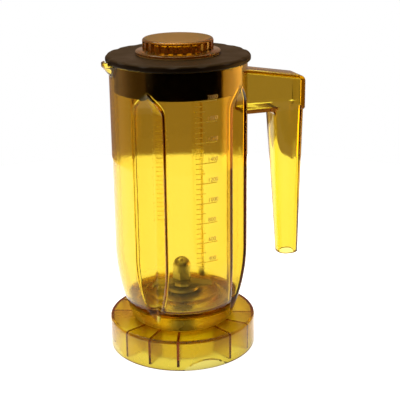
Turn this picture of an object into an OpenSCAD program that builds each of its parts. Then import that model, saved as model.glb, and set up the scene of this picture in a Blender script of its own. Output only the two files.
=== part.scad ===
// Commercial blender jar: moulded amber jar with handle and base skirt, rubber lid with a
// ribbed filler cap, and a ball-bearing blade unit driven by a socket under the floor.
// The origin is on the axis, on the plane that the base skirt stands on. +X is the handle side.

/* [Jar wall] */
// Outer radius of the jar above the taper
jar_r = 64.5; // [60:0.5:70]
// Moulded wall thickness
wall = 4; // [3:0.5:5]
// Height of the jar's rim
rim_z = 284; // [260:1:300]
// Height where the wall starts to curve inwards
taper_z = 105; // [95:1:120]
// Radius of the curve that narrows the wall towards the base
taper_curve_r = 191; // [180:1:220]

/* [Flutes] */
// Radius of the bottom of each vertical flute
flute_bottom_r = 52.5; // [51:0.5:56]
// Fillet radius along the bottom of a flute
flute_fillet_r = 3; // [2:0.5:4]
// Half of the angle between a flute's two sides
flute_half_angle = 56; // [50:1:60]
// Height where a flute starts to run out
flute_ramp_z = 248; // [230:1:255]
// Lean of the ramp at the top of a flute
flute_ramp_lean = 38.7; // [30:0.1:50]

/* [Floor] */
// Top of the raised middle of the floor
floor_z = 56; // [54:0.5:60]
// Radius of the raised middle of the floor
floor_plateau_r = 35; // [30:1:38]
// Floor thickness
floor_t = 5; // [4:0.5:6]

/* [Spout] */
// Radius of the spout's round nose
spout_r = 10.5; // [9:0.5:12]
// How far the nose stands out from the axis
spout_reach = 73; // [70:0.5:76]
// Height where the spout meets the wall
spout_low_z = 270; // [265:1:274]

/* [Base skirt] */
// Outer radius of the skirt
skirt_r = 72; // [68:0.5:75]
// Height of the skirt's top plate
skirt_h = 30.5; // [28:0.5:34]
// Skirt wall and plate thickness
skirt_t = 3; // [2.5:0.5:4]
// Bore of the collar that drops over the motor base
collar_r = 44; // [42:0.5:45]
// Depth of the collar bore
collar_h = 22; // [18:1:24]
// Thickness of a stiffening rib
rib_t = 2.4; // [2:0.2:3]
// Angle from a flute's centre to the ribs beside it
rib_spread = 23; // [20:1:28]

/* [Handle] */
// Half the width of the handle's arm
arm_half_w = 14; // [12:0.5:15]
// Farthest reach of the handle from the axis
handle_reach = 124; // [115:1:130]
// Height of the arm's top edge at the jar
arm_top_z = 272; // [268:1:276]
// Drop of the arm's top edge towards the grip
arm_drop = 10; // [6:1:14]
// Height of the arm's underside
arm_low_z = 229.5; // [224:0.5:234]
// Height of the grip's open lower end
grip_low_z = 80; // [75:1:95]
// Outer radius of the grip's lower end
grip_low_r = 11; // [10:0.5:12]
// Bore radius at the grip's lower end
grip_hole_r = 7.2; // [6.5:0.1:8]
// Handle wall thickness
handle_t = 3.5; // [3:0.5:4]

/* [Lid] */
// Outer radius of the lid's flange
lid_r = 67.5; // [66:0.5:70]
// Flange thickness
lid_t = 6; // [5:0.5:8]
// Depth of the plug below the rim
plug_h = 26.5; // [20:0.5:30]
// Number of finger scoops round the flange
scoop_count = 16; // [8:1:16]

/* [Filler cap] */
// Outer radius of the ribbed knob
cap_r = 33; // [32:0.5:37]
// Height of the cap above its gasket
cap_h = 13.4; // [12:0.2:18]
// Radius of the cap's stem
stem_r = 30.5; // [28:0.5:31.5]
// Length of the stem below the cap's flange
stem_h = 29; // [20:1:32]
// Number of grip flutes round the cap
cap_flute_count = 24; // [16:1:28]

/* [Blade unit] */
// Shaft radius in the bearings
shaft_r = 4; // [3.5:0.5:4]
// Outer radius of each bearing
bearing_r = 8; // [8:0.5:9]
// Bearing width
bearing_w = 5; // [4.5:0.5:5]
// Ball radius
ball_r = 1.2; // [1:0.1:1.3]
// Balls in each bearing
ball_count = 9; // [7:1:10]
// Tip radius of the blades
blade_tip_r = 30; // [26:1:32]
// Blade width
blade_w = 13; // [11:1:14]
// Blade thickness
blade_t = 2; // [1.6:0.1:2.2]
// Bend of the blade wings
blade_bend = 14; // [10:1:20]

/* [Hidden] */
$fn = 96;

tiny = 0.01;
gap = 0.3;              // clearance between parts that lift apart
running = 0.05;         // radial running clearance
quarter_turn = 90;

// Jar wall as a function of height: straight above taper_z, an arc below it
function wall_r(z) = z >= taper_z ? jar_r
    : jar_r - taper_curve_r + sqrt(pow(taper_curve_r, 2) - pow(taper_z - z, 2));
wall_steps = 12;
flute_steps = 6;
function taper_points(z_low, inset) = [
    for (i = [0:wall_steps])
        let (z = z_low + (taper_z - z_low) * i / wall_steps) [wall_r(z) - inset, z]
];

floor_gutter_z = floor_z - 6;
gutter_fillet = 7;
recess_r = 45;
recess_top_r = 47;
recess_z = floor_gutter_z - floor_t;
flute_angles = [for (i = [0:3]) 45 + i * quarter_turn];

housing_r = 11;
housing_low_z = 38.5;
housing_flange_r = 17;
gasket_t = 0.8;
flange_t = 2;
housing_top_z = floor_z + gasket_t + flange_t;
race_step = 0.9;        // depth of a race's flat rim below the ball track
pitch_r = (shaft_r + bearing_r) / 2;
lower_bearing_z = 40.5;
upper_bearing_z = 48;
bearing_web_z = upper_bearing_z + bearing_w;
web_t = 1;
seal_r = bearing_r;
shoulder_r = 5;
stack_z = 59.5;
washer_r = 9.2;
washer_t = 1;
lower_blade_z = stack_z + 1.5;
upper_blade_z = lower_blade_z + blade_t + washer_t;
nut_z = upper_blade_z + blade_t + washer_t;
nut_hex_h = 7;
nut_hex_r = 9.3;
nut_r = 8.6;
nut_cyl_h = 6;
socket_low_z = 24;
socket_top_z = 38;
socket_r = 12;
socket_cavity_h = 7;
socket_square = 11;

lid_z = rim_z + 0.2;
lid_top_z = lid_z + lid_t;
plug_r = jar_r - wall - gap;
plug_t = 5;
cap_seal_t = 1.2;
cap_z = lid_top_z + cap_seal_t;
cap_top_z = cap_z + cap_h;
cap_flange_r = 39.5;
cap_flange_t = 2;
cap_wall = 3;
amber = [0.85, 0.62, 0.10, 0.55];

// Cross-section of a flute, with its bottom towards the axis; grow moves every face inwards
module flute_section(grow) {
    centre = flute_bottom_r + flute_fillet_r;
    q = flute_fillet_r + grow;
    turn = 90 - flute_half_angle;
    far = [centre - q * sin(flute_half_angle), q * cos(flute_half_angle)]
        + 40 * [cos(flute_half_angle), sin(flute_half_angle)];
    polygon(concat(
        [[far[0], far[1]]],
        [for (i = [0:flute_steps])
            let (a = turn - 2 * turn * i / flute_steps) [centre - q * cos(a), q * sin(a)]],
        [[far[0], -far[1]]]));
}

// One flute with its ramped top; a grown flute turns where the two offset faces meet
module flute(grow, z_low) {
    turn_x = flute_bottom_r - grow;
    turn_z = flute_ramp_z + grow * tan(flute_ramp_lean / 2);
    translate([0, 0, z_low])
        linear_extrude(turn_z - z_low + tiny) flute_section(grow);
    translate([turn_x, 0, turn_z])
        rotate([0, flute_ramp_lean, 0])
            translate([-turn_x, 0, 0])
                linear_extrude(40) flute_section(grow);
}

module all_flutes(grow, z_low) {
    for (a = flute_angles) rotate([0, 0, a]) flute(grow, z_low);
}

// Everything inside the wall, down to the floor with its gutter and raised middle
module cavity() {
    corner_z = floor_gutter_z + gutter_fillet;
    corner_x = wall_r(corner_z) - wall - gutter_fillet;
    difference() {
        rotate_extrude()
            polygon(concat(
                [[0, rim_z + 1], [0, floor_z], [floor_plateau_r, floor_z],
                 [floor_plateau_r + 3, floor_gutter_z]],
                [for (a = [0:15:75])
                    [corner_x + gutter_fillet * sin(a), corner_z - gutter_fillet * cos(a)]],
                taper_points(corner_z, wall),
                [[jar_r - wall, rim_z + 1]]));
        all_flutes(wall, 0);
    }
}

module spout_solid(inset) {
    hull() {
        translate([-(jar_r - 4 - inset), 0, spout_low_z + inset]) sphere(r = 2, $fn = 24);
        translate([-(spout_reach - spout_r), 0, rim_z - 1])
            cylinder(r = spout_r - inset, h = 3.5, $fn = 32);
    }
}

// The jar's tapered lower part with the floor, up to where the wall turns straight
module jar_foot() {
    color(amber)
        difference() {
            rotate_extrude()
                polygon(concat([[0, skirt_h]], taper_points(skirt_h, 0), [[0, taper_z]]));
            all_flutes(0, skirt_h - 1);
            cavity();
            translate([0, 0, skirt_h - 1])
                cylinder(r1 = recess_r, r2 = recess_top_r, h = recess_z - skirt_h + 1);
            translate([0, 0, recess_z - 1])
                cylinder(r = floor_plateau_r - 2, h = floor_z - floor_t - recess_z + 1);
            cylinder(r = housing_r + running, h = floor_z + 1);
        }
}

// A quarter of the straight wall, cut through the middle of two flutes. Turn 0 faces the handle.
module wall_quarter(turn) {
    reach = 2 * jar_r;
    color(amber)
        intersection() {
            difference() {
                translate([0, 0, taper_z]) cylinder(r = jar_r, h = rim_z - taper_z);
                all_flutes(0, taper_z - 1);
                cavity();
            }
            rotate([0, 0, turn])
                translate([0, 0, taper_z - 1])
                    linear_extrude(rim_z - taper_z + 2)
                        polygon([[0, 0], [reach, -reach], [reach, reach]]);
        }
}

module jar_spout_side() {
    color(amber)
        difference() {
            union() {
                wall_quarter(180);
                difference() {
                    spout_solid(0);
                    translate([0, 0, rim_z]) cylinder(r = lid_r + 0.7, h = 10);
                    cavity();
                }
            }
            spout_solid(wall - 1);
        }
}

// Side outline of the handle's arm, in X and Z, pulled in by inset
module arm_outline(inset) {
    corner_r = 6;
    slope = arm_drop / (handle_reach - jar_r);
    top = arm_top_z - inset;
    end_x = handle_reach - inset;
    end_z = top - slope * (end_x - jar_r);
    inner_r = max(corner_r - inset, 1);
    polygon([[jar_r - 6, arm_low_z + inset], [end_x, arm_low_z + inset],
        [end_x, end_z - inner_r], [end_x - inner_r, top - slope * (end_x - inner_r - jar_r)],
        [jar_r - 6, top + slope * 6]]);
    translate([end_x - inner_r, end_z - inner_r + slope * inner_r / 2])
        circle(r = inner_r);
}

// Tapered grip: oval where it leaves the arm, round at its lower end
module grip_solid(inset, low_r, z_low) {
    top_rx = 17.5 - inset;
    top_ry = arm_half_w - inset;
    hull() {
        translate([handle_reach - 17.5, 0, arm_low_z + 8])
            scale([top_rx, top_ry, 1]) cylinder(r = 1, h = 0.5, $fn = 48);
        translate([handle_reach - grip_low_r - 0.3, 0, z_low])
            cylinder(r = low_r, h = 0.5, $fn = 48);
    }
}

module jar_handle() {
    web_r = 12;
    grip_inner_x = handle_reach - 35;
    color(amber)
        difference() {
            union() {
                translate([0, arm_half_w, 0]) rotate([90, 0, 0])
                    linear_extrude(2 * arm_half_w) arm_outline(0);
                grip_solid(0, grip_low_r, grip_low_z);
                // Rounded corner between the arm's underside and the grip
                translate([grip_inner_x - web_r + 1, arm_half_w - 2, arm_low_z - web_r])
                    rotate([90, 0, 0])
                        linear_extrude(2 * arm_half_w - 4)
                            difference() {
                                square([web_r + 6, web_r + 1]);
                                circle(r = web_r);
                            }
            }
            translate([0, 0, grip_low_z - 50]) cylinder(r = jar_r, h = 250);
            translate([0, arm_half_w - handle_t, 0]) rotate([90, 0, 0])
                linear_extrude(2 * (arm_half_w - handle_t)) arm_outline(handle_t);
            grip_solid(handle_t, grip_hole_r, grip_low_z - 0.3);
        }
}

module base_skirt() {
    edge_r = 2.5;
    plate_z = skirt_h - skirt_t;
    arch_h = 9.5;
    arch_half_w = 23;
    arch_r = (pow(arch_half_w, 2) + pow(arch_h, 2)) / (2 * arch_h);
    arch_depth = 1.2;
    color(amber)
        difference() {
            union() {
                rotate_extrude()
                    polygon(concat(
                        [[skirt_r - skirt_t, 0], [skirt_r, 0]],
                        [for (a = [0:15:90])
                            [skirt_r - edge_r * (1 - cos(a)), skirt_h - edge_r * (1 - sin(a))]],
                        [[collar_r - 2, skirt_h], [collar_r - 2, collar_h], [collar_r, collar_h],
                         [collar_r, 0], [collar_r + skirt_t, 0], [collar_r + skirt_t, plate_z],
                         [skirt_r - skirt_t, plate_z]]));
                for (f = flute_angles, d = [-rib_spread, 0, rib_spread])
                    rotate([0, 0, f + d])
                        translate([collar_r + skirt_t - 0.5, -rib_t / 2, 3])
                            cube([skirt_r - collar_r - 2 * skirt_t + 1, rib_t, plate_z - 2.5]);
            }
            // Arched pockets inside the wide panels of the wall
            for (a = [0:quarter_turn:270])
                rotate([0, 0, a])
                    intersection() {
                        translate([0, 0, arch_h - arch_r]) rotate([0, 90, 0])
                            cylinder(r = arch_r, h = skirt_r);
                        difference() {
                            translate([0, 0, -1])
                                cylinder(r = skirt_r - skirt_t + arch_depth, h = arch_h + 2);
                            translate([0, 0, -2])
                                cylinder(r = skirt_r - skirt_t - 2, h = arch_h + 4);
                        }
                    }
        }
}

module lid() {
    rim_round = 2;
    scoop_r = 20;
    color([0.13, 0.12, 0.11])
        difference() {
            rotate_extrude()
                polygon([
                    [stem_r + gap, lid_top_z], [lid_r - rim_round, lid_top_z],
                    [lid_r - 0.6, lid_top_z - 0.6], [lid_r, lid_top_z - rim_round],
                    [lid_r, lid_z + 1], [lid_r - 1, lid_z], [plug_r, lid_z],
                    [plug_r, lid_z - plug_h + 1.5], [plug_r - 1.5, lid_z - plug_h],
                    [plug_r - plug_t, lid_z - plug_h], [plug_r - plug_t, lid_z + 0.5],
                    [stem_r + 5, lid_z + 0.5], [stem_r + 5, lid_z - 6],
                    [stem_r + gap, lid_z - 6]]);
            for (i = [0:scoop_count - 1])
                rotate([0, 0, i * 360 / scoop_count])
                    translate([lid_r + 9, 0, lid_top_z + 15]) sphere(r = scoop_r);
            // Notches that clear the upper ends of the jar's flutes
            all_flutes(wall + gap, flute_ramp_z);
        }
}

module cap_gasket() {
    color([0.72, 0.55, 0.25])
        translate([0, 0, lid_top_z])
            difference() {
                cylinder(r = cap_flange_r - 1, h = cap_seal_t);
                translate([0, 0, -1]) cylinder(r = stem_r + running, h = cap_seal_t + 2);
            }
}

module filler_cap() {
    flute_r = 4.2;
    flute_centre_r = cap_r + 2.5;
    plate_t = 3.5;
    color(amber)
        difference() {
            rotate_extrude()
                polygon(concat(
                    [[0, cap_top_z], [cap_r - 2.5, cap_top_z]],
                    [for (a = [75:-15:0])
                        [cap_r - 2.5 * (1 - cos(a)), cap_top_z - 2.5 * (1 - sin(a))]],
                    [[cap_r, cap_z + cap_flange_t], [cap_flange_r, cap_z + cap_flange_t],
                     [cap_flange_r, cap_z], [stem_r, cap_z], [stem_r - 1, cap_z - stem_h],
                     [stem_r - 1 - cap_wall, cap_z - stem_h],
                     [stem_r - cap_wall, cap_top_z - plate_t], [0, cap_top_z - plate_t]]));
            for (i = [0:cap_flute_count - 1])
                rotate([0, 0, i * 360 / cap_flute_count])
                    translate([flute_centre_r, 0, cap_z + cap_flange_t])
                        cylinder(r = flute_r, h = cap_h - cap_flange_t - plate_t, $fn = 32);
        }
}

module bearing_housing() {
    color("silver")
        difference() {
            union() {
                translate([0, 0, housing_low_z])
                    cylinder(r = housing_r, h = housing_top_z - housing_low_z);
                translate([0, 0, floor_z + gasket_t])
                    cylinder(r1 = housing_flange_r, r2 = housing_flange_r - 1, h = flange_t);
            }
            translate([0, 0, housing_low_z - 1])
                cylinder(r = bearing_r, h = bearing_web_z - housing_low_z + 1);
            translate([0, 0, bearing_web_z - 1]) cylinder(r = shoulder_r + 1, h = 3);
            translate([0, 0, bearing_web_z + web_t]) cylinder(r = seal_r, h = 20);
            translate([0, 0, lower_bearing_z - 1]) cylinder(r = bearing_r + 0.6, h = 1);
        }
}

module ring(r_out, r_in, z, h) {
    translate([0, 0, z])
        difference() {
            cylinder(r = r_out, h = h);
            translate([0, 0, -1]) cylinder(r = r_in, h = h + 2);
        }
}

module floor_gasket() {
    color([0.75, 0.72, 0.65]) ring(housing_flange_r - 1, housing_r, floor_z, gasket_t);
}

module retaining_nut() {
    nut_outer_r = 20;
    nut_h = 7;
    color("gainsboro")
        difference() {
            ring(nut_outer_r, housing_r, floor_z - floor_t - nut_h, nut_h);
            for (i = [0:5])
                rotate([0, 0, i * 60])
                    translate([nut_outer_r + 1, 0, floor_z - floor_t - nut_h - 1])
                        cylinder(r = 3, h = nut_h + 2, $fn = 32);
        }
}

module circlip() {
    clip_t = 1;
    color("dimgray")
        difference() {
            ring(bearing_r + 0.6, bearing_r - 1.6, lower_bearing_z - clip_t, clip_t);
            translate([0, -1.5, lower_bearing_z - clip_t - 1]) cube([20, 3, clip_t + 2]);
        }
}

module bearing_spacer() {
    z = lower_bearing_z + bearing_w;
    color("silver") ring(bearing_r, bearing_r - 1.2, z, upper_bearing_z - z);
}

module shaft_seal() {
    z = bearing_web_z + web_t;
    color([0.2, 0.2, 0.22]) ring(seal_r, shoulder_r + running, z, housing_top_z - z - 0.4);
}

// Bearing parts, each given the height of the bearing's lower face
module ball_track(z) {
    translate([0, 0, z + bearing_w / 2])
        rotate_extrude() translate([pitch_r, 0]) circle(r = ball_r + running, $fn = 48);
}

module outer_race(z) {
    color("lightgray")
        difference() {
            ring(bearing_r, pitch_r + race_step, z, bearing_w);
            ball_track(z);
        }
}

module inner_race(z) {
    color("lightgray")
        difference() {
            ring(pitch_r - race_step, shaft_r, z, bearing_w);
            ball_track(z);
        }
}

module balls(z) {
    color("white")
        for (i = [0:ball_count - 1])
            rotate([0, 0, i * 360 / ball_count])
                translate([pitch_r, 0, z + bearing_w / 2]) sphere(r = ball_r, $fn = 32);
}

module cage(z) {
    cage_h = 3.6;
    color("goldenrod")
        difference() {
            ring(pitch_r + 0.35, pitch_r - 0.35, z + (bearing_w - cage_h) / 2, cage_h);
            for (i = [0:ball_count - 1])
                rotate([0, 0, i * 360 / ball_count])
                    translate([pitch_r, 0, z + bearing_w / 2])
                        sphere(r = ball_r + running, $fn = 32);
        }
}

module blade_shaft() {
    color("silver") {
        translate([0, 0, socket_low_z + socket_cavity_h])
            cylinder(r = shaft_r, h = nut_z + nut_hex_h + nut_cyl_h - socket_low_z - socket_cavity_h);
        translate([0, 0, bearing_web_z]) cylinder(r = shoulder_r, h = stack_z - bearing_web_z);
    }
}

module inner_sleeve() {
    z = lower_bearing_z + bearing_w;
    color("silver") ring(shoulder_r - 0.1, shaft_r, z, upper_bearing_z - z);
}

// Side outline of one wing, in X and Z: a flat stretch, then a wing bent by the given angle
module wing_outline(flat_r, wing, bend) {
    rise = wing * sin(bend);
    run = wing * cos(bend);
    lean = blade_t * sin(bend);
    mitre = blade_t * tan(bend / 2);
    polygon([[-1, 0], [flat_r, 0], [flat_r + run, rise],
        [flat_r + run - lean, rise + blade_t * cos(bend)], [flat_r - mitre, blade_t], [-1, blade_t]]);
}

// Plan outline of one wing, with its leading corner cut away
module wing_plan(flat_r, tip_r) {
    half_w = blade_w / 2;
    cut_start = flat_r + (tip_r - flat_r) * 0.5;
    polygon([[-1, -half_w], [cut_start, -half_w], [tip_r, -half_w * 0.1],
        [tip_r, half_w - 1.5], [tip_r - 1.5, half_w], [-1, half_w]]);
}

// Two-winged blade: a flat middle and tapered wings, bent up (bend > 0) or down
module blade(z, bend, tip_r) {
    flat_r = 11;
    color("silver")
        difference() {
            union()
                for (side = [0, 180])
                    rotate([0, 0, side])
                        intersection() {
                            translate([0, blade_w, z]) rotate([90, 0, 0])
                                linear_extrude(2 * blade_w) wing_outline(flat_r, tip_r, bend);
                            translate([0, 0, z - tip_r])
                                linear_extrude(2 * tip_r) wing_plan(flat_r, tip_r);
                        }
            translate([0, 0, z - 5]) cylinder(r = shaft_r, h = 10);
        }
}

module lower_washer() {
    color("silver") ring(washer_r, shaft_r, stack_z, lower_blade_z - stack_z);
}

module lower_blade() {
    rotate([0, 0, -19]) blade(lower_blade_z, -blade_bend / 2, blade_tip_r);
}

module blade_washer() {
    color("silver") ring(washer_r - 0.5, shaft_r, lower_blade_z + blade_t, washer_t);
}

module upper_blade() {
    rotate([0, 0, 71]) blade(upper_blade_z, blade_bend, blade_tip_r - 3);
}

module upper_washer() {
    color("silver") ring(washer_r, shaft_r, upper_blade_z + blade_t, washer_t);
}

module acorn_nut() {
    color("silver")
        difference() {
            union() {
                translate([0, 0, nut_z]) cylinder(r = nut_hex_r, h = nut_hex_h, $fn = 6);
                translate([0, 0, nut_z + nut_hex_h]) cylinder(r = nut_r, h = nut_cyl_h);
                translate([0, 0, nut_z + nut_hex_h + nut_cyl_h]) sphere(r = nut_r);
            }
            translate([0, 0, nut_z - 20]) cylinder(r = 20, h = 20);
            translate([0, 0, nut_z - 1]) cylinder(r = shaft_r, h = nut_hex_h + nut_cyl_h + 1);
        }
}

module drive_socket() {
    neck_r = shoulder_r;
    color("gray")
        difference() {
            union() {
                translate([0, 0, socket_low_z])
                    cylinder(r = socket_r, h = socket_top_z - socket_low_z);
                translate([0, 0, socket_top_z - 1])
                    cylinder(r = neck_r, h = lower_bearing_z - socket_top_z + 1);
            }
            translate([0, 0, socket_low_z]) cylinder(r = shaft_r, h = 30);
            // Twelve-point drive recess
            for (a = [0:30:60])
                rotate([0, 0, a])
                    translate([-socket_square / 2, -socket_square / 2, socket_low_z - 1])
                        cube([socket_square, socket_square, socket_cavity_h + 1]);
        }
}

jar_foot();
wall_quarter(270);  // jar_front
wall_quarter(90);  // jar_back
wall_quarter(0);  // jar_handle_side
jar_spout_side();
jar_handle();
base_skirt();
lid();
cap_gasket();
filler_cap();
bearing_housing();
floor_gasket();
retaining_nut();
circlip();
bearing_spacer();
shaft_seal();
outer_race(upper_bearing_z);  // upper_outer_race
inner_race(upper_bearing_z);  // upper_inner_race
balls(upper_bearing_z);  // upper_balls
cage(upper_bearing_z);  // upper_cage
outer_race(lower_bearing_z);  // lower_outer_race
inner_race(lower_bearing_z);  // lower_inner_race
balls(lower_bearing_z);  // lower_balls
cage(lower_bearing_z);  // lower_cage
blade_shaft();
inner_sleeve();
lower_washer();
lower_blade();
blade_washer();
upper_blade();
upper_washer();
acorn_nut();
drive_socket();
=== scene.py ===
"""Looks for the blender jar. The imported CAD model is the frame. The amber mouldings, the rubber lid
and the filler cap are rebuilt as smooth meshes inside the CAD's sizes, with a squarer grip and deeper
flutes on the cap, and every other CAD node keeps its mesh and gets a procedural material. Shapes are
in millimetres until a mesh is made; materials, the stage and the lights are in metres."""

import math

import bmesh
import bpy
import numpy as np
from mathutils import Matrix, Vector


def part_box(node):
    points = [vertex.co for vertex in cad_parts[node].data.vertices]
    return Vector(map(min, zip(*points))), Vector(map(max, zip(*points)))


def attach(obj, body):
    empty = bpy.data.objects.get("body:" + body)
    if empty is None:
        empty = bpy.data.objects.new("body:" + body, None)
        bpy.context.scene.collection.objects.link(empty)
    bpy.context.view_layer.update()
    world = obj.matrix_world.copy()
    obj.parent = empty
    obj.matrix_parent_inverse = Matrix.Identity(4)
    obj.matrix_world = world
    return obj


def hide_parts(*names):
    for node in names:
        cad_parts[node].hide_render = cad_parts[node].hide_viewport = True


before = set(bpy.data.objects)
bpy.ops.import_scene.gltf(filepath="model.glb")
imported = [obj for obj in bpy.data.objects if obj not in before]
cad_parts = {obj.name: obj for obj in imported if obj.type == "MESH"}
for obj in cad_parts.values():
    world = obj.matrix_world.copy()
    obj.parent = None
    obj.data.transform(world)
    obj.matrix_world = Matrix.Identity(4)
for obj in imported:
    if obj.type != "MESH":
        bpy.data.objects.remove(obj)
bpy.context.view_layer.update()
MM = 0.001


def node_box(*names):
    """The lowest and highest corners round some CAD nodes, in millimetres."""
    boxes = np.array([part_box(name) for name in names])
    return boxes[:, 0].min(0) / MM, boxes[:, 1].max(0) / MM


JAR_NODES = ("jar_foot", "jar_front", "jar_back", "jar_handle_side", "jar_spout_side")


# ---------------------------------------------------------------- sizes
JAR_LOW, JAR_HIGH = node_box(*JAR_NODES)
SKIRT_HIGH = node_box("base_skirt")[1]
HANDLE_LOW, HANDLE_HIGH = node_box("jar_handle")
LID_LOW, LID_HIGH = node_box("lid")
CAP_LOW, CAP_HIGH = node_box("filler_cap")
SEAL_HIGH = node_box("cap_gasket")[1]

WALL = 4.0
JAR_R = JAR_HIGH[1]
FOOT_Z = JAR_LOW[2]
LIP_Z = JAR_HIGH[2]
RIM_Z = LIP_Z - 2.5
TAPER_Z, TAPER_R = 105.0, 191.0
FLUTE_R, FLUTE_FILLET = JAR_R - 12.0, 3.0
FLUTE_HALF = math.radians(56)
RAMP_Z, RAMP_LEAN = RIM_Z - 36.0, math.radians(38.7)
FLUTE_AT = [math.radians(45 + 90 * i) for i in range(4)]
SPOUT_REACH, SPOUT_R, SPOUT_Z = -JAR_LOW[0], 10.5, RIM_Z - 14.0
FLOOR_Z, PLATEAU_R, FLOOR_T = 56.0, 35.0, 5.0
GUTTER_Z, CORNER_R = FLOOR_Z - 6.0, 7.0
BORE_R = 11.08
SKIRT_R, SKIRT_T = SKIRT_HIGH[0], 3.0
COLLAR_R, COLLAR_H = 44.0, 22.0
ARM_LOW_Z, ARM_HALF, ARM_DROP, ARM_FALL = 229.5, 14.0, 12.0, 10.0
HANDLE_T, GRIP_HALF = 3.5, 16.2
LID_R, PLUG_R, PLUG_T, SCOOPS = LID_HIGH[0], JAR_R - WALL - 0.3, 5.0, 16
CAP_FLUTES = 24
HAIR = 0.03  # kept between pieces of clear plastic that touch


# ---------------------------------------------------------------- mesh helpers
def add_object(name, mesh, body, material, *replaced, slot=None):
    obj = bpy.data.objects.new(name, mesh)
    bpy.context.scene.collection.objects.link(obj)
    mesh.materials.append(material)
    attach(obj, body)
    if replaced:
        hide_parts(*replaced)
    return obj


def mesh_of(name, points, faces, smooth_angle=None):
    """A mesh in metres from points in millimetres, facing outwards."""
    mesh = bpy.data.meshes.new(name)
    mesh.from_pydata((np.asarray(points) * MM).tolist(), [], faces)
    bm = bmesh.new()
    bm.from_mesh(mesh)
    bmesh.ops.remove_doubles(bm, verts=bm.verts, dist=1e-7)
    if bm.calc_volume(signed=True) < 0:
        bmesh.ops.reverse_faces(bm, faces=bm.faces)
    bm.to_mesh(mesh)
    bm.free()
    smooth(mesh, smooth_angle)
    return mesh


def smooth(mesh, angle=None):
    """Smooth shading, with edges sharper than the angle in degrees kept crisp."""
    mesh.polygons.foreach_set("use_smooth", [True] * len(mesh.polygons))
    if angle is None:
        return
    bm = bmesh.new()
    bm.from_mesh(mesh)
    for edge in bm.edges:
        edge.smooth = len(edge.link_faces) == 2 and edge.calc_face_angle(0) < math.radians(angle)
    bm.to_mesh(mesh)
    bm.free()


def loft(rings, loop=True):
    """Points and faces through rings of equal length. Without loop, both ends close to a point."""
    n = len(rings[0])
    points = np.concatenate([np.asarray(r, float).reshape(-1, 3) for r in rings])
    count = len(rings)
    faces = []
    for i in range(count if loop else count - 1):
        a, b = i * n, ((i + 1) % count) * n
        faces += [(a + j, a + (j + 1) % n, b + (j + 1) % n, b + j) for j in range(n)]
    if not loop:
        for first, flip in ((0, True), ((count - 1) * n, False)):
            centre = len(points)
            points = np.vstack([points, points[first:first + n].mean(0)])
            fan = [(first + j, first + (j + 1) % n, centre) for j in range(n)]
            faces += [f[::-1] for f in fan] if flip else fan
    return points, faces


def ring(angles, radius, z):
    radius = np.broadcast_to(radius, angles.shape)
    z = np.broadcast_to(z, angles.shape)
    return np.stack([radius * np.cos(angles), radius * np.sin(angles), z], 1)


def arc_points(centre, radius, start, end, steps):
    """Points of an arc in (r, z), angles in degrees."""
    turns = np.radians(np.linspace(start, end, steps))
    return [(centre[0] + radius * math.cos(a), centre[1] + radius * math.sin(a)) for a in turns]


def smin(a, b, k):
    h = np.clip(0.5 + 0.5 * (b - a) / k, 0, 1)
    return b * (1 - h) + a * h - k * h * (1 - h)


def smax(a, b, k):
    return -smin(-a, -b, k)


def step(x):
    x = np.clip(x, 0, 1)
    return x * x * (3 - 2 * x)


def boolean(obj, other, operation):
    """Applies one boolean with another object, and removes that object."""
    modifier = obj.modifiers.new("cut", "BOOLEAN")
    modifier.object, modifier.operation, modifier.solver = other, operation, "EXACT"
    bpy.context.view_layer.update()
    result = bpy.data.meshes.new_from_object(obj.evaluated_get(bpy.context.evaluated_depsgraph_get()))
    obj.modifiers.clear()
    obj.data = result
    bpy.data.objects.remove(other)
    return obj


def loose(mesh):
    obj = bpy.data.objects.new("tool", mesh)
    bpy.context.scene.collection.objects.link(obj)
    return obj


def prism(outline, low, high):
    """A closed prism along Y from an outline in X and Z."""
    outline = np.asarray(outline, float)
    ends = []
    for value in (low, high):
        ends.append(np.stack([outline[:, 0], np.full(len(outline), value), outline[:, 1]], 1))
    n = len(outline)
    faces = [(j, (j + 1) % n, n + (j + 1) % n, n + j) for j in range(n)]
    faces += [tuple(range(n))[::-1], tuple(range(n, 2 * n))]
    return mesh_of("prism", np.vstack(ends), faces)


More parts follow.
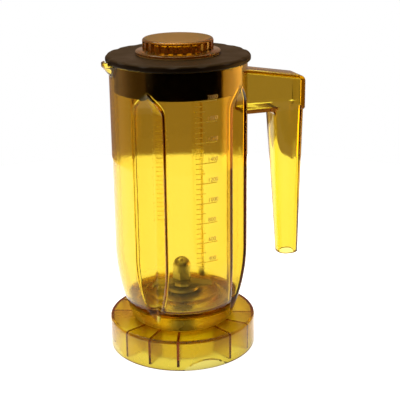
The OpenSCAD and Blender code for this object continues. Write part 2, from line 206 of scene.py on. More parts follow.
# ---------------------------------------------------------------- node materials
class Nodes:
    """A small wrapper that keeps the material functions short."""

    def __init__(self, name):
        self.material = bpy.data.materials.new(name)
        self.material.use_nodes = True
        self.tree = self.material.node_tree
        self.tree.nodes.clear()
        self.output = self.tree.nodes.new("ShaderNodeOutputMaterial")
        self.shader = self.tree.nodes.new("ShaderNodeBsdfPrincipled")
        self.link(self.shader.outputs[0], self.output.inputs["Surface"])
        self.place = self.tree.nodes.new("ShaderNodeTexCoord").outputs["Object"]

    def link(self, a, b):
        self.tree.links.new(a, b)

    def set(self, **values):
        for key, value in values.items():
            self.shader.inputs[key.replace("_", " ")].default_value = value

    def axis(self, name):
        node = self.tree.nodes.new("ShaderNodeSeparateXYZ")
        self.link(self.place, node.inputs[0])
        return node.outputs[name]

    def stretched(self, scale):
        mapping = self.tree.nodes.new("ShaderNodeMapping")
        mapping.inputs["Scale"].default_value = scale
        self.link(self.place, mapping.inputs["Vector"])
        return mapping.outputs[0]

    def noise(self, scale, detail=3.0, rough=0.5, place=None):
        node = self.tree.nodes.new("ShaderNodeTexNoise")
        node.inputs["Scale"].default_value = scale
        node.inputs["Detail"].default_value = detail
        node.inputs["Roughness"].default_value = rough
        self.link(place or self.place, node.inputs["Vector"])
        return node.outputs["Fac"]

    def remap(self, value, low, high, to_low, to_high):
        node = self.tree.nodes.new("ShaderNodeMapRange")
        for i, v in enumerate((low, high, to_low, to_high), 1):
            node.inputs[i].default_value = v
        self.link(value, node.inputs[0])
        return node.outputs[0]

    def blend(self, factor, a, b):
        node = self.tree.nodes.new("ShaderNodeMix")
        node.data_type = "RGBA"
        self.link(factor, node.inputs[0])
        for socket, value in ((node.inputs[6], a), (node.inputs[7], b)):
            if isinstance(value, tuple):
                socket.default_value = (*value, 1)
            else:
                self.link(value, socket)
        return node.outputs[2]

    def math(self, operation, *values):
        node = self.tree.nodes.new("ShaderNodeMath")
        node.operation = operation
        for socket, value in zip(node.inputs, values):
            if isinstance(value, (int, float)):
                socket.default_value = value
            else:
                self.link(value, socket)
        return node.outputs[0]

    def mixed(self, factor, a, b):
        return self.math("MULTIPLY_ADD", factor, self.math("SUBTRACT", b, a), a)

    def within(self, radius, low, high):
        """1 nearer the axis than a radius and between two heights, 0 elsewhere."""
        flat = self.tree.nodes.new("ShaderNodeVectorMath")
        flat.operation = "LENGTH"
        self.link(self.stretched((1, 1, 0)), flat.inputs[0])
        near = self.math("LESS_THAN", flat.outputs["Value"], radius)
        height = self.axis("Z")
        tall = self.math("MULTIPLY", self.math("LESS_THAN", height, high),
                         self.math("GREATER_THAN", height, low))
        return self.math("MULTIPLY", near, tall)

    def bump(self, height, distance, strength=1.0, over=None):
        node = self.tree.nodes.new("ShaderNodeBump")
        node.inputs["Distance"].default_value = distance
        node.inputs["Strength"].default_value = strength
        self.link(height, node.inputs["Height"])
        if over is not None:
            self.link(over, node.inputs["Normal"])
        return node.outputs[0]


def amber(name, density=400.0, roughness=(0.015, 0.05), clear=1.0, tint=((1, 1, 1), (0.97, 0.96, 0.93)),
          frost=None, absorbed=(0.925, 0.8375, 0.09), gleam=0.5, shaded_tint=None, worn=None):
    """Clear amber plastic: absorption inside, faint moulding ripple, and fine scuffs on the skin.
    Frost gives a radius, two heights and a roughness range; inside them the skin is as moulded, dull.
    The tint outside the frost, where one is given, is painted shade: it leaves the frosted part lighter, as
    if lit. Worn gives two heights and the roughness at the lower one."""
    m, ripple = Nodes(name), 0.00002
    m.set(Transmission_Weight=clear, IOR=1.53, Specular_Tint=(1.0, 0.86, 0.55, 1),
          Specular_IOR_Level=gleam)
    scuffs = m.remap(m.noise(900, 4, 0.6, m.stretched((1, 1, 0.12))), 0.56, 0.75, 0, 1)
    haze = m.noise(28, 3)
    gloss = m.remap(haze, 0.3, 0.75, *roughness)
    if worn:
        low, high, dullest = worn
        gloss = m.math("MAXIMUM", gloss, m.remap(m.axis("Z"), low, high, dullest, 0))
    skin = m.blend(scuffs, *tint)
    if frost:
        dull = m.within(*frost[:3])
        gloss = m.mixed(dull, gloss, m.remap(haze, 0.3, 0.75, *frost[3:]))
        # Painted shade: outside the frost the skin takes the darker tint, so the frosted part looks lit
        skin = m.blend(dull, shaded_tint, skin) if shaded_tint else skin
    m.link(gloss, m.shader.inputs["Roughness"])
    m.link(skin, m.shader.inputs["Base Color"])
    waves = m.bump(m.noise(16, 1.5, 0.4, m.stretched((1, 1, 0.35))), ripple * 20)
    m.link(m.bump(scuffs, ripple, 0.5, over=waves), m.shader.inputs["Normal"])
    absorb = m.tree.nodes.new("ShaderNodeVolumeAbsorption")
    absorb.inputs["Color"].default_value = (*absorbed, 1)
    absorb.inputs["Density"].default_value = density
    m.link(absorb.outputs[0], m.output.inputs["Volume"])
    return m.material


def rubber(name, dark, light, roughness=(0.38, 0.6), lit_top=None):
    """Moulded rubber: fine matt grain, cloudy wear and a few paler scuffs. An optional height in metres and
    a colour paint the rubber above the height a lighter brown, painted light on the top; below it stays
    dark, painted shade."""
    m = Nodes(name)
    m.set(Specular_IOR_Level=0.1, Specular_Tint=(1.0, 0.72, 0.42, 1))
    cloud = m.noise(35, 4)
    grain = m.noise(2400, 2)
    wear = m.remap(m.noise(140, 5, 0.65), 0.58, 0.8, 0, 1)
    base = m.blend(m.remap(cloud, 0.35, 0.7, 0, 1), dark, light)
    # Painted light and shade: above the height the rubber is a lighter brown, and the scoops and sides below
    # stay dark
    if lit_top:
        height, lit_brown, soft = *lit_top, 0.0006
        base = m.blend(m.remap(m.axis("Z"), height - soft, height, 0, 1), base, lit_brown)
    m.link(m.blend(m.remap(wear, 0, 1, 0, 0.35), base, tuple(min(1, 2.2 * c + 0.01) for c in light)),
           m.shader.inputs["Base Color"])
    m.link(m.remap(cloud, 0.3, 0.7, *roughness), m.shader.inputs["Roughness"])
    m.link(m.bump(grain, 0.00004, 0.6, over=m.bump(cloud, 0.0002, 0.4)), m.shader.inputs["Normal"])
    return m.material


def steel(name, roughness, colour=(0.62, 0.6, 0.57), brush=(1, 1, 40)):
    """Turned or brushed metal: fine lines, slight colour drift and handling marks."""
    m, depth = Nodes(name), 0.00001
    m.set(Metallic=1.0)
    lines = m.noise(260, 3, 0.6, m.stretched(brush))
    marks = m.noise(90, 4)
    m.link(m.blend(m.remap(marks, 0.35, 0.7, 0, 1), colour, tuple(0.78 * c for c in colour)),
           m.shader.inputs["Base Color"])
    m.link(m.remap(lines, 0.3, 0.7, *roughness), m.shader.inputs["Roughness"])
    m.link(m.bump(lines, depth, 0.6), m.shader.inputs["Normal"])
    return m.material


def plastic(name, colour, roughness):
    """Opaque moulded plastic with a slightly cloudy skin."""
    m = Nodes(name)
    cloud = m.noise(60, 4)
    m.link(m.blend(m.remap(cloud, 0.35, 0.7, 0, 1), colour, tuple(0.8 * c for c in colour)),
           m.shader.inputs["Base Color"])
    m.link(m.remap(cloud, 0.3, 0.7, *roughness), m.shader.inputs["Roughness"])
    m.link(m.bump(m.noise(1200, 2), 0.00002, 0.5), m.shader.inputs["Normal"])
    return m.material


# ---------------------------------------------------------------- jar body
def wall_r(z):
    drop = TAPER_Z - np.minimum(z, TAPER_Z)
    return JAR_R - TAPER_R + np.sqrt(TAPER_R ** 2 - drop ** 2)


def flute_r(angles, z, inset):
    """Radius where a ray meets the nearest flute, with the flute's faces pulled in by inset."""
    offset = np.mod(angles - FLUTE_AT[0] + math.pi / 4, math.pi / 2) - math.pi / 4
    lean = 1 / math.tan(FLUTE_HALF)
    k = (FLUTE_FILLET + inset) * (1 / math.sin(FLUTE_HALF) - 1)
    above = z - RAMP_Z - inset * math.tan(RAMP_LEAN / 2)
    shift = 0.5 * (above + np.sqrt(above ** 2 + 9)) * math.tan(RAMP_LEAN)
    apex = FLUTE_R - inset + shift - k
    a = np.cos(offset) ** 2 - (lean * np.sin(offset)) ** 2
    level = np.cos(offset) * apex
    return (level + np.sqrt(np.maximum(level ** 2 - a * (apex ** 2 - k ** 2), 0))) / a


def spout_r(angles, z, inset):
    """Radius of the pouring spout's surface, or 0 beside it."""
    turn = np.mod(angles, 2 * math.pi) - math.pi
    low = SPOUT_Z + inset
    share = np.clip((z - low) / (RIM_Z - 1 - low), 0, 1)
    nose = 2 + (SPOUT_R - inset - 2) * share
    near = JAR_R - 4 - inset
    centre = near + (SPOUT_REACH - SPOUT_R - near) * share
    inside = nose ** 2 - (centre * np.sin(turn)) ** 2
    radius = centre * np.cos(turn) + np.sqrt(np.maximum(inside, 0))
    return np.where((inside > 0) & (np.cos(turn) > 0) & (z > low - 2), radius, 0)


def outer_r(angles, z):
    body = smin(wall_r(z) + 0 * angles, flute_r(angles, z, 0), 1.0)
    return smax(body, spout_r(angles, min(z, RIM_Z - 1), 0), 1.6)


def inner_r(angles, z):
    body = smin(wall_r(z) - WALL + 0 * angles, flute_r(angles, z, WALL), 1.0)
    return smax(body, spout_r(angles, min(z, RIM_Z - 1), WALL - 1), 1.6)


def jar_angles():
    """Angles round the jar, close together at the flute edges and round the spout."""
    half = np.concatenate([np.arange(0, 12, 0.8), np.arange(12, 18.4, 0.32), np.arange(18.4, 45, 1.45)])
    one = np.concatenate([-half[:0:-1], half])
    turns = np.concatenate([one + 45 + 90 * i for i in range(4)])
    turns = np.concatenate([turns[np.abs(turns - 180) > 12], np.arange(168, 192.1, 0.6)])
    turns = np.sort(np.mod(turns, 360))
    turns = turns[np.concatenate([[True], np.diff(turns) > 0.12])]
    return np.radians(turns)


def rim_z(radius):
    """The rim is level under the lid, and the spout's lip stands up beyond it."""
    return RIM_Z + (LIP_Z - RIM_Z) * step((radius - LID_R - 0.4) / 0.7)


def make_jar(material):
    """One closed skin of rings: up the outside, over the rim, down the inside, and in under the foot."""
    t = jar_angles()
    foot = FOOT_Z + HAIR
    outside = np.concatenate([
        [foot + 0.4], np.arange(32, 60, 2.0), np.arange(60, 244, 4.0), np.arange(244, 268, 1.0),
        np.arange(268, RIM_Z - 1.4, 1.2), [RIM_Z - 1.2]])
    rings = [ring(t, outer_r(t, foot) - 0.4, foot)]
    rings += [ring(t, outer_r(t, z), z) for z in outside]
    out, inn = outer_r(t, RIM_Z), inner_r(t, RIM_Z)
    for pull, drop in ((0, 0.8), (0.24, 0.24), (0.8, 0)):
        rings.append(ring(t, out - pull, rim_z(out - pull) - drop))
    for share in (0.3, 0.5, 0.7):
        r = (out - 0.8) * (1 - share) + (inn + 0.6) * share
        rings.append(ring(t, r, rim_z(r)))
    for pull, drop in ((0.6, 0), (0.18, 0.18), (0, 0.6)):
        rings.append(ring(t, inn + pull, rim_z(inn + pull) - drop))
    corner_z = GUTTER_Z + CORNER_R
    inside = np.concatenate([
        [RIM_Z - 1.2], np.arange(RIM_Z - 2.4, 268, -1.2), np.arange(268, 244, -1.0),
        np.arange(244, 62, -4.0), [60, corner_z]])
    rings += [ring(t, inner_r(t, z), z) for z in inside]
    edge = inner_r(t, corner_z) - CORNER_R
    # The corner, the gutter and the step up to the plateau
    for a in np.radians([75, 60, 45, 30, 15, 0]):
        rings.append(ring(t, edge + CORNER_R * math.sin(a), corner_z - CORNER_R * math.cos(a)))
    rings.append(ring(t, edge * 0.4 + (PLATEAU_R + 4.5) * 0.6, GUTTER_Z))
    for r, z in ((4.0, 0.1), (3.2, 0.6), (1.6, 3.4), (0.5, 5.4), (-0.4, 5.9), (-1.4, 6)):
        rings.append(ring(t, PLATEAU_R + r, GUTTER_Z + z))
    # The plateau, the bore and the underside
    under = FLOOR_Z - FLOOR_T + HAIR
    recess = GUTTER_Z - FLOOR_T
    for r, z in ((26, FLOOR_Z), (18, FLOOR_Z), (BORE_R, FLOOR_Z), (BORE_R, under), (22, under),
                 (PLATEAU_R - 2.6, under), (PLATEAU_R - 2, under - 0.6), (PLATEAU_R - 2, recess + 0.5),
                 (PLATEAU_R - 1.5, recess), (40, recess), (46.2, recess), (47, recess - 0.8),
                 (46, 38), (45.2, foot + 0.4), (45.5, foot)):
        rings.append(ring(t, r, z))
    mesh = mesh_of("jar", *loft(rings), smooth_angle=50)
    return add_object("jar_moulding", mesh, "jar", material, *JAR_NODES, slot="jar_plastic")


# ---------------------------------------------------------------- base ring
def make_base(material):
    t = np.linspace(0, 2 * math.pi, 360, endpoint=False)
    panel = np.mod(t + math.pi / 4, math.pi / 2) - math.pi / 4
    arch_h, arch_w, depth = 9.5, 23.0, 1.2
    rib_spread, rib_t, rib_low, bite = 23, 2.4, 3.0, 0.5
    top, plate = SKIRT_HIGH[2], SKIRT_HIGH[2] - SKIRT_T

    def inner_wall(z):
        across = SKIRT_R * np.sin(panel)
        arch = arch_h * (1 - (across / arch_w) ** 2)
        return SKIRT_R - SKIRT_T + depth * step((arch - z) / 0.8)

    rings = [ring(t, SKIRT_R - 0.3, 0.0), ring(t, SKIRT_R, 0.3)]
    rings += [ring(t, SKIRT_R, z) for z in (6, 14, 22)]
    rings += [ring(t, r, z) for r, z in arc_points((SKIRT_R - 2.5, top - 2.5), 2.5, 0, 90, 9)]
    rings += [ring(t, r, top) for r in (62, 52, COLLAR_R - 1.6)]
    rings += [ring(t, r, z) for r, z in ((COLLAR_R - 2, top - 0.4), (COLLAR_R - 2, COLLAR_H + 0.4),
                                         (COLLAR_R - 1.6, COLLAR_H), (COLLAR_R, COLLAR_H), (COLLAR_R, 0.4),
                                         (COLLAR_R + 0.4, 0), (COLLAR_R + SKIRT_T - 0.4, 0),
                                         (COLLAR_R + SKIRT_T, 0.4), (COLLAR_R + SKIRT_T, plate - 1.2))]
    rings += [ring(t, r, z) for r, z in arc_points((COLLAR_R + SKIRT_T + 1.2, plate - 1.2), 1.2, 150, 90, 4)]
    rings += [ring(t, r, z) for r, z in arc_points((SKIRT_R - SKIRT_T - 1.2, plate - 1.2), 1.2, 90, 0, 5)]
    rings += [ring(t, inner_wall(z), z) for z in (20, 14, *np.arange(11, 0.4, -0.8), 0.3)]
    rings.append(ring(t, inner_wall(0.0) + 0.3, 0.0))
    base = loose(mesh_of("base", *loft(rings)))
    ribs = bmesh.new()
    for centre in FLUTE_AT:
        for spread in (-rib_spread, 0, rib_spread):
            turn = Matrix.Rotation(centre + math.radians(spread), 4, "Z")
            low, high, rib_top = COLLAR_R + SKIRT_T - bite, SKIRT_R - SKIRT_T + bite, plate + bite
            size = Matrix.Diagonal(((high - low) * MM, rib_t * MM, (rib_top - rib_low) * MM, 1))
            shift = Matrix.Translation(((high + low) / 2 * MM, 0, (rib_top + rib_low) / 2 * MM))
            bmesh.ops.create_cube(ribs, size=1, matrix=turn @ shift @ size)
    mesh = bpy.data.meshes.new("ribs")
    ribs.to_mesh(mesh)
    ribs.free()
    boolean(base, loose(mesh), "UNION")
    mesh = base.data
    bpy.data.objects.remove(base)
    smooth(mesh, 35)
    mesh.materials.clear()
    return add_object("base_ring", mesh, "jar", material, "base_skirt", slot="jar_plastic")


# ---------------------------------------------------------------- handle
def arm_outline(inset):
    """The arm's outline in X and Z, with its outer top corner rounded."""
    reach, top = HANDLE_HIGH[0] - inset, RIM_Z - ARM_DROP - inset
    slope = ARM_FALL / (HANDLE_HIGH[0] - JAR_R)
    low, corner = ARM_LOW_Z + inset, max(6 - inset, 1)
    start = JAR_R - 8
    lean = math.atan(slope)
    # The corner circle touches the sloping top edge and the upright outer edge
    cx = reach - corner
    cz = top - slope * (cx - JAR_R) - corner / math.cos(lean)
    points = [(start, low)]
    bottom = max(2.0 - inset, 0.6)
    points += arc_points((reach - bottom, low + bottom), bottom, -90, 0, 5)
    points += arc_points((cx, cz), corner, 0, 90 - math.degrees(lean), 9)
    points.append((start, top - slope * (start - JAR_R)))
    return points


def grip_mesh(inset, low_r, low_z):
    """The grip: nearly square where it meets the arm, and round at its lower end."""
    reach, steps = HANDLE_HIGH[0], 96
    turns = np.linspace(0, 2 * math.pi, steps, endpoint=False)
    # Centre, half width, half depth, height and the power that squares the section, at each end. At
    # the arm it stays a hair inside the arm's sides.
    top = (reach - GRIP_HALF, GRIP_HALF - inset, ARM_HALF - inset - 0.01, 238.0, 0.32)
    end = (reach - 11.3, low_r, low_r, low_z, 0.85)
    rings = []
    for share in np.linspace(0, 1, 40):
        x, rx, ry, z, square = (a * (1 - share) + b * share for a, b in zip(top, end))
        c, s = np.cos(turns), np.sin(turns)
        wide, deep = np.sign(c) * np.abs(c) ** square, np.sign(s) * np.abs(s) ** square
        rings.append(np.stack([x + rx * wide, ry * deep, np.full(steps, z)], 1))
    return mesh_of("grip", *loft(rings, loop=False))


def bevelled(mesh, width):
    """Rounds every edge sharper than 60 degrees."""
    bm = bmesh.new()
    bm.from_mesh(mesh)
    edges = [e for e in bm.edges if len(e.link_faces) == 2 and e.calc_face_angle(0) > math.radians(60)]
    bmesh.ops.bevel(bm, geom=edges, offset=width * MM, segments=3, affect="EDGES", profile=0.5)
    bm.to_mesh(mesh)
    bm.free()
    return mesh


def make_handle(material):
    half, thick, low_z = ARM_HALF, HANDLE_T, HANDLE_LOW[2]
    handle = loose(bevelled(prism(arm_outline(0), -half, half), 1.0))
    boolean(handle, loose(grip_mesh(0, 11.0, low_z)), "UNION")
    web, inner_x, low = 4.0, HANDLE_HIGH[0] - 2 * GRIP_HALF + 1, ARM_LOW_Z
    outline = [(inner_x - web, low + 1), (inner_x + 5, low + 1), (inner_x + 5, low - web)]
    outline += arc_points((inner_x - web, low - web), web, 0, 90, 14)
    boolean(handle, loose(prism(outline, -half + 2, half - 2)), "UNION")
    hollow = loose(bevelled(prism(arm_outline(thick), -half + thick, half - thick), 1.5))
    boolean(hollow, loose(grip_mesh(thick, 7.2, low_z - 0.3)), "UNION")
    boolean(handle, hollow, "DIFFERENCE")
    turns = np.linspace(0, 2 * math.pi, 360, endpoint=False)
    jar = [ring(turns, JAR_R + HAIR, z) for z in (low_z - 20, RIM_Z + 20)]
    boolean(handle, loose(mesh_of("bore", *loft(jar, loop=False))), "DIFFERENCE")
    mesh = handle.data
    bpy.data.objects.remove(handle)
    smooth(mesh, 32)
    mesh.materials.clear()
    return add_object("handle", mesh, "jar", material, "jar_handle", slot="jar_plastic")


# ---------------------------------------------------------------- lid
def scoop_z(radius, angles):
    """Height of the finger scoops' round bottoms, far above the lid elsewhere. Each scoop is cut by a
    ball whose centre is out beyond the rim and above it."""
    pitch = 2 * math.pi / SCOOPS
    offset = np.mod(angles + pitch / 2, pitch) - pitch / 2
    centre, size, above = LID_R + 9, 20.0, 15.5
    apart = radius ** 2 + centre ** 2 - 2 * radius * centre * np.cos(offset)
    depth = np.sqrt(np.maximum(size ** 2 - apart, 0))
    return LID_HIGH[2] + above - depth


def make_lid(material):
    t = np.linspace(0, 2 * math.pi, 384, endpoint=False)
    top, flange, plug_z = LID_HIGH[2], RIM_Z + 0.2, LID_LOW[2]
    hole = SEAL_HIGH[0] - 7.7

    def upper(radius, z):
        return ring(t, radius, smin(z + 0 * t, scoop_z(radius, t), 0.7))

    # The plug's lower edge rises over the ends of the jar's flutes
    heights = np.arange(plug_z, plug_z + 12, 0.25)
    clear = np.array([np.minimum(inner_r(t, z), PLUG_R + 1) > PLUG_R - PLUG_T + 1.4 for z in heights])
    edge_z = heights[np.argmax(clear, axis=0)]
    edge_z = np.maximum.reduce([np.roll(edge_z, s) for s in (-2, -1, 0, 1, 2)])
    edge_z = (np.roll(edge_z, 1) + edge_z + np.roll(edge_z, -1)) / 3

    def plug(share, inset=0.0):
        z = edge_z * (1 - share) + (flange - 0.3) * share
        limit = np.array([inner_r(t[i:i + 1], z[i])[0] for i in range(len(t))]) - 0.3
        return ring(t, np.minimum(PLUG_R, limit) - inset, z)

    rings = [upper(r, top) for r in (hole + 0.4, 40, 48, 54)]
    rings += [upper(r, top) for r in np.arange(56, LID_R - 3.2, 0.6)]
    rings += [upper(r, z) for r, z in arc_points((LID_R - 3, top - 3), 3, 86, 0, 10)]
    side = upper(LID_R, top - 3)
    for share in (0.35, 0.7):
        low = side.copy()
        low[:, 2] = side[:, 2] * (1 - share) + (flange + 1.6) * share
        rings.append(low)
    rings += [ring(t, r, z) for r, z in arc_points((LID_R - 1.6, flange + 1.6), 1.6, 0, -90, 6)]
    rings += [ring(t, PLUG_R + 0.8, flange)]
    rings += [plug(s) for s in (1.0, 0.85, 0.65, 0.45, 0.3, 0.2, 0.1, 0.04)]
    rings += [plug(0.0, 0.9)]
    inner = PLUG_R - PLUG_T
    # The hollow plug's inside, then the hole for the cap with its collar
    rings += [ring(t, inner + 0.3, edge_z), ring(t, inner, edge_z + 0.6)]
    rings += [ring(t, r, z) for r, z in ((inner, flange - 1.5), (inner - 1.5, flange + 0.5),
                                         (hole + 5.5, flange + 0.5), (hole + 4.7, flange),
                                         (hole + 4.7, flange - 5.6), (hole + 4.2, flange - 6),
                                         (hole + 0.4, flange - 6), (hole, flange - 5.6), (hole, top - 0.4))]
    mesh = mesh_of("lid", *loft(rings), smooth_angle=55)
    return add_object("rubber_lid", mesh, "lid", material, "lid", slot="lid_rubber")


# ---------------------------------------------------------------- filler cap
def make_cap(material):
    t = np.linspace(0, 2 * math.pi, CAP_FLUTES * 18, endpoint=False)
    low, top = SEAL_HIGH[2], CAP_HIGH[2]
    knob, flange, stem = CAP_HIGH[0] - 6.5, CAP_HIGH[0], CAP_HIGH[0] - 9
    pitch = 2 * math.pi / CAP_FLUTES
    offset = np.mod(t + pitch / 2, pitch) - pitch / 2
    centre, size = knob + 0.3, 2.8
    inside = size ** 2 - (centre * np.sin(offset)) ** 2
    groove = np.where(inside > 0, centre * np.cos(offset) - np.sqrt(np.maximum(inside, 0)), knob + 2)

    def side(z, pull=0.0):
        fade = step((top - 1.9 - z) / 1.0) * step((z - low - 2.0) / 0.8)
        cut = groove * fade + (knob + 2) * (1 - fade)
        return ring(t, smin(knob + 0 * t, cut, 0.7) - pull, z)

    rings = [ring(t, r, top) for r in (8, 18, 26, knob - 3.4)]
    rings += [side(z, knob - r) for r, z in arc_points((knob - 2.5, top - 2.5), 2.5, 84, 0, 9)]
    rings += [side(z) for z in (*np.arange(top - 3.0, low + 2.4, -0.8), low + 2.3)]
    rings += [ring(t, r, z) for r, z in ((knob + 0.3, low + 2), (flange - 0.5, low + 2), (flange, low + 1.5),
                                         (flange, low + HAIR + 0.4), (flange - 0.4, low + HAIR),
                                         (stem + 0.4, low + HAIR), (stem - 0.05, low - 0.4))]
    # The stem narrows by 1 mm down to its foot, and the cap is hollow up to its top
    foot = CAP_LOW[2]
    rings += [ring(t, stem - 0.05 - (low - z) / (low - foot), z)
              for z in (low - 8, low - 16, low - 24, foot + 0.6)]
    rings += [ring(t, r, z) for r, z in ((stem - 1.6, foot), (stem - 3.4, foot), (stem - 4, foot + 0.6),
                                         (stem - 3.5, 280), (stem - 3, top - 5), (stem - 4.5, top - 3.5),
                                         (16, top - 3.5), (6, top - 3.5))]
    mesh = mesh_of("cap", *loft(rings, loop=False), smooth_angle=50)
    return add_object("ribbed_cap", mesh, "cap", material, "filler_cap", slot="cap_plastic")


# ---------------------------------------------------------------- scale marks
def on_wall(points, centre_angle):
    """Puts flat (along, up, out) points on the jar's wall, in millimetres."""
    p = np.asarray(points, float)
    a = centre_angle + p[:, 0] / JAR_R
    r = JAR_R + HAIR + p[:, 2]
    return np.stack([r * np.cos(a), r * np.sin(a), p[:, 1]], 1)


def strip(low_x, high_x, z, height, rise):
    """A thin raised bar with enough columns to follow the wall."""
    n, half = 8, height / 2
    xs = np.linspace(low_x, high_x, n)
    section = ((-half, 0), (half, 0), (half - 0.08, rise), (-half + 0.08, rise))
    points = np.concatenate([np.stack([xs, np.full(n, z + dz), np.full(n, out)], 1) for dz, out in section])
    faces = [(i * n + j, i * n + j + 1, ((i + 1) % 4) * n + j + 1, ((i + 1) % 4) * n + j)
             for i in range(4) for j in range(n - 1)]
    faces += [(0, n, 2 * n, 3 * n), (4 * n - 1, 3 * n - 1, 2 * n - 1, n - 1)]
    return points, faces


def number(value, x, z, height, rise):
    """Digits from the built-in font, as points and faces with some depth."""
    curve = bpy.data.curves.new("digits", "FONT")
    curve.body, curve.size, curve.extrude = str(value), height / 0.7, rise / 2
    curve.align_x = "LEFT"
    obj = bpy.data.objects.new("digits", curve)
    bpy.context.scene.collection.objects.link(obj)
    bpy.context.view_layer.update()
    mesh = bpy.data.meshes.new_from_object(obj.evaluated_get(bpy.context.evaluated_depsgraph_get()))
    points = np.array([v.co for v in mesh.vertices]) + (x, z, rise / 2)
    faces = [tuple(p.vertices) for p in mesh.polygons]
    bpy.data.objects.remove(obj)
    return points, faces


def make_scale(name, centre_angle, material, first, pitch, count, length, numbers):
    """A ladder of marks up the wall, with the short ones between, and numbers beside the long ones."""
    parts, rise = [], 0.14
    for i in range(count):
        z = first + pitch * i
        parts.append(strip(-length / 2, length / 2, z, 0.9, rise))
        if numbers:
            parts.append(number(400 + 200 * i, length / 2 - 9.6, z + 1.3, 3.8, rise))
        if i < count - 1:
            for share in (0.25, 0.5, 0.75) if numbers else (0.5,):
                wide = 0.44 if share == 0.5 else 0.3
                parts.append(strip(-length / 2, -length / 2 + wide * length, z + pitch * share, 0.7, rise))
    points, faces, total = [], [], 0
    for p, f in parts:
        points.append(p)
        faces += [tuple(i + total for i in face) for face in f]
        total += len(p)
    mesh = mesh_of(name, on_wall(np.concatenate(points), centre_angle), faces, smooth_angle=30)
    return add_object(name, mesh, "jar", material, slot="jar_plastic")


# ---------------------------------------------------------------- stage
def make_camera():
    """Above the front left of the axis, looking down at the jar from the photograph's angle."""
    heading, pitch, roll = math.radians(-19), 0.3205, 0.0115
    away = Vector((-math.sin(heading), math.cos(heading), 0))
    right = Vector((away.y, -away.x, 0))
    forward = away * math.cos(pitch) - Vector((0, 0, math.sin(pitch)))
    up = right.cross(forward)
    data = bpy.data.cameras.new("camera")
    data.sensor_width, data.lens = 36, 90
    data.clip_start, data.clip_end = 0.05, 20
    cam = bpy.data.objects.new("camera", data)
    bpy.context.scene.collection.objects.link(cam)
    turn = Matrix((right, up, -forward)).transposed() @ Matrix.Rotation(-roll, 3, "Z")
    place = away * -0.9204 + right * 0.0188 + Vector((0, 0, 0.4523))
    cam.matrix_world = Matrix.Translation(place) @ turn.to_4x4()
    bpy.context.scene.camera = cam


def make_floor():
    """A pale table, white to the camera. To anything else its front half is darker, painted shade for the
    dark room in front, and it glows under the base, painted light for the light that comes through the
    amber."""
    turns = np.linspace(0, 2 * math.pi, 128, endpoint=False)
    mesh = bpy.data.meshes.new("floor")
    radius, below = 0.69, 0.0003
    points = [(radius * math.cos(a), radius * math.sin(a), -below) for a in turns]
    mesh.from_pydata(points, [], [tuple(range(128))])
    m = Nodes("pale_table")
    m.set(Roughness=0.8, Emission_Color=(1, 1, 1, 1))
    back = m.axis("Y")
    # Painted shade: the front half of the table has a darker colour
    m.link(m.remap(back, -0.2, 0.0, 0.2, 0.8), m.shader.inputs["Base Color"])
    m.link(m.bump(m.noise(300, 2), 0.00005, 0.3), m.shader.inputs["Normal"])
    away = m.tree.nodes.new("ShaderNodeVectorMath")
    away.operation = "LENGTH"
    m.link(m.place, away.inputs[0])
    path = m.tree.nodes.new("ShaderNodeLightPath")
    # Painted shade and light: the glow is lower on the front half, and higher under the base where it stands
    # in for light through the amber
    glow = m.math("MAXIMUM", m.remap(back, -0.2, 0.0, 0.1, 0.9),
                  m.remap(away.outputs["Value"], 0.06, 0.09, 0.85, 0))
    m.link(m.math("MAXIMUM", glow, path.outputs["Is Camera Ray"]), m.shader.inputs["Emission Strength"])
    mesh.materials.append(m.material)
    floor = bpy.data.objects.new("floor", mesh)
    bpy.context.scene.collection.objects.link(floor)


def make_world():
    """White to the camera. Everything else meets a warm wall behind the jar, a dark room in front
    and a few soft panels."""
    world = bpy.data.worlds.new("studio")
    bpy.context.scene.world = world
    world.use_nodes = True
    tree = world.node_tree
    tree.nodes.clear()
    new = tree.nodes.new
    output, mix, path = new("ShaderNodeOutputWorld"), new("ShaderNodeMixShader"), new("ShaderNodeLightPath")
    plain = new("ShaderNodeBackground")
    plain.inputs["Color"].default_value = (1, 1, 1, 1)
    place = new("ShaderNodeTexCoord").outputs["Generated"]
    total = None
    for direction, start, full, colour in SURROUNDINGS:
        # Full where the direction looked at lies within a cone, easing to nothing outside it
        dot, soft, glow = new("ShaderNodeVectorMath"), new("ShaderNodeMapRange"), new("ShaderNodeBackground")
        dot.operation, soft.interpolation_type = "DOT_PRODUCT", "SMOOTHSTEP"
        tree.links.new(place, dot.inputs[0])
        dot.inputs[1].default_value = Vector(direction).normalized()
        soft.inputs[1].default_value, soft.inputs[2].default_value = start, full
        tree.links.new(dot.outputs["Value"], soft.inputs[0])
        tree.links.new(soft.outputs[0], glow.inputs["Strength"])
        glow.inputs["Color"].default_value = (*colour, 1)
        if total is not None:
            both = new("ShaderNodeAddShader")
            tree.links.new(total, both.inputs[0])
            tree.links.new(glow.outputs[0], both.inputs[1])
            glow = both
        total = glow.outputs[0]
    tree.links.new(path.outputs["Is Camera Ray"], mix.inputs[0])
    tree.links.new(total, mix.inputs[1])
    tree.links.new(plain.outputs[0], mix.inputs[2])
    tree.links.new(mix.outputs[0], output.inputs["Surface"])


# direction, cosine where a glow begins, cosine where it is full, colour
SURROUNDINGS = (
    ((0.33, 0.94, 0.0), -0.35, 0.35, (0.42, 0.28, 0.20)),
    ((0.0, 0.0, 1.0), 0.55, 0.85, (0.9, 0.82, 0.62)),
    ((0.9646, -0.05, -0.2588), 0.888, 0.912, (3.2, 1.7, 0.25)),
    ((-0.92, 0.25, -0.3), 0.84, 0.88, (0.4, 0.21, 0.05)),
    ((-0.95, -0.35, 0.3), 0.86, 0.95, (0.6, 0.45, 0.28)),
)


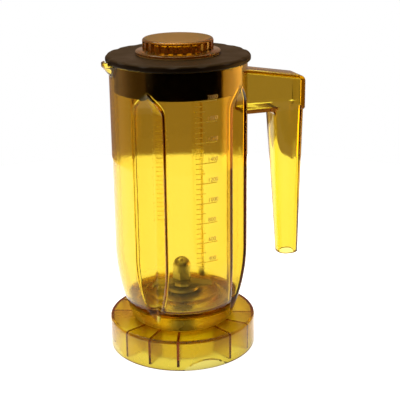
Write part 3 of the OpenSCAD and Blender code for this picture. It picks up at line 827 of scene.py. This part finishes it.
def make_light(name, place, size, power):
    """A soft rectangle that points at the middle of the jar."""
    target = Vector((0, 0, 0.18))
    data = bpy.data.lights.new(name, "AREA")
    data.shape, data.size, data.size_y, data.energy = "RECTANGLE", size[0], size[1], power
    light = bpy.data.objects.new(name, data)
    bpy.context.scene.collection.objects.link(light)
    light.location = place
    light.rotation_euler = (target - Vector(place)).to_track_quat("-Z", "Y").to_euler()


# ---------------------------------------------------------------- the scene
make_jar(amber("amber_jar", frost=(0.0545, 0, 0.0585, 0.22, 0.34), worn=(0.035, 0.085, 0.14)))
make_base(amber("amber_base", density=900.0, absorbed=(0.945, 0.868, 0.001),
                frost=((SKIRT_R - 1) * MM, 0, (SKIRT_HIGH[2] - 0.3) * MM, 0.24, 0.36)))
make_handle(amber("amber_handle", absorbed=(0.932, 0.862, 0.07)))
# The cap's sides take a darker tint than its frosted top: painted shade, so the top looks lit
make_cap(amber("amber_cap", density=420.0, clear=0.85, tint=((0.95, 0.60, 0.02), (0.85, 0.52, 0.016)),
               frost=(0.0305, (CAP_HIGH[2] - 2.2) * MM, 1.0, 0.35, 0.5), gleam=0.3,
               shaded_tint=(0.55, 0.29, 0.012)))
# The lid's top is painted a lighter brown just under its highest point, painted light; the scoops and sides
# below stay dark, painted shade
make_lid(rubber("black_rubber", (0.008, 0.005, 0.003), (0.014, 0.008, 0.004),
                lit_top=((LID_HIGH[2] - 1.2) * MM, (0.036, 0.02, 0.005))))
marks = amber("scale_print", density=20.0, roughness=(0.2, 0.4), clear=0.88,
              tint=((0.95, 0.8, 0.3), (0.9, 0.72, 0.25)))
make_scale("front_scale", math.radians(-86), marks, first=106, pitch=19, count=9, length=21, numbers=True)
make_scale("rear_scale", math.radians(90), marks, first=106, pitch=9.5, count=17, length=14, numbers=False)

FINISHES = {
    steel("polished_steel", (0.3, 0.45), colour=(0.86, 0.83, 0.78)): (
        "acorn_nut", "blade_shaft", "bearing_housing"),
    steel("ground_blade", (0.32, 0.5), colour=(0.78, 0.77, 0.75), brush=(30, 1, 1)): (
        "lower_blade", "upper_blade"),
    steel("washer_steel", (0.35, 0.5)): ("lower_washer", "blade_washer", "upper_washer"),
    steel("nut_alloy", (0.3, 0.5), colour=(0.5, 0.5, 0.5)): (
        "retaining_nut", "bearing_spacer", "inner_sleeve"),
    steel("bearing_steel", (0.06, 0.14), colour=(0.55, 0.55, 0.56)): (
        "upper_outer_race", "upper_inner_race", "upper_balls",
        "lower_outer_race", "lower_inner_race", "lower_balls"),
    steel("socket_steel", (0.3, 0.5), colour=(0.32, 0.31, 0.3)): ("drive_socket", "circlip"),
    plastic("cage_nylon", (0.5, 0.36, 0.14), (0.3, 0.5)): ("upper_cage", "lower_cage"),
    rubber("seal_rubber", (0.02, 0.02, 0.022), (0.035, 0.035, 0.04)): ("shaft_seal",),
    rubber("silicone", (0.42, 0.3, 0.13), (0.5, 0.37, 0.17), roughness=(0.3, 0.45)): (
        "cap_gasket", "floor_gasket"),
}
for finish, names in FINISHES.items():
    for name in names:
        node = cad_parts[name]
        node.data.materials.clear()
        node.data.materials.append(finish)

make_camera()
make_floor()
make_world()
make_light("overhead_softbox", (-0.2, 0.5, 1.5), (1.2, 1.0), 7)
make_light("front_fill", (-0.6, -1.6, 1.0), (1.0, 1.0), 1)
bpy.context.scene.view_settings.view_transform = "Standard"
# The clear walls need more bounces than the default, or their edges turn black
cycles = bpy.context.scene.cycles
cycles.max_bounces, cycles.glossy_bounces, cycles.transmission_bounces = 32, 32, 32

bpy.context.view_layer.update()
